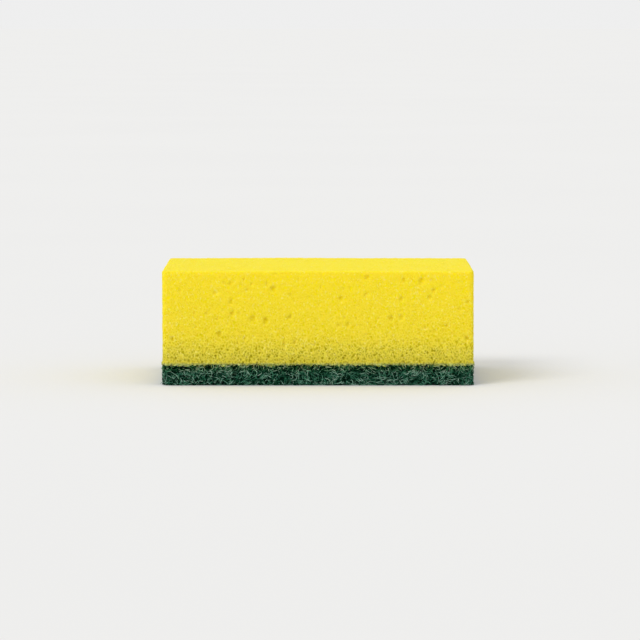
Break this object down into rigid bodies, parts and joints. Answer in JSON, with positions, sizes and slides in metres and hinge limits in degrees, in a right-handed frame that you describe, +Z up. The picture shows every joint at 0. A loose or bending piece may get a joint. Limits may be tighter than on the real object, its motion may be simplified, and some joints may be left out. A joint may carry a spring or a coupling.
{
  "type": "cleaning sponge",
  "caption": "Rectangular block of open-cell foam with a bonded fibrous scouring pad under it, for wiping and scrubbing by hand",
  "frame": {"origin": "middle of the scouring pad's underside, in the plane that its outermost fibres rest on", "axes": "+X along the length, +Y across the width towards the back, +Z up from the pad to the foam"},
  "size_m": [0.095, 0.065, 0.035],
  "materials": {
    "foam": "matte open-cell foam",
    "scouring_pad": "matte nonwoven web of coarse fibres"
  },
  "bodies": {
    "root": {"foam_block": "foam", "scouring_pad": "scouring_pad"}
  },
  "joints": []
}
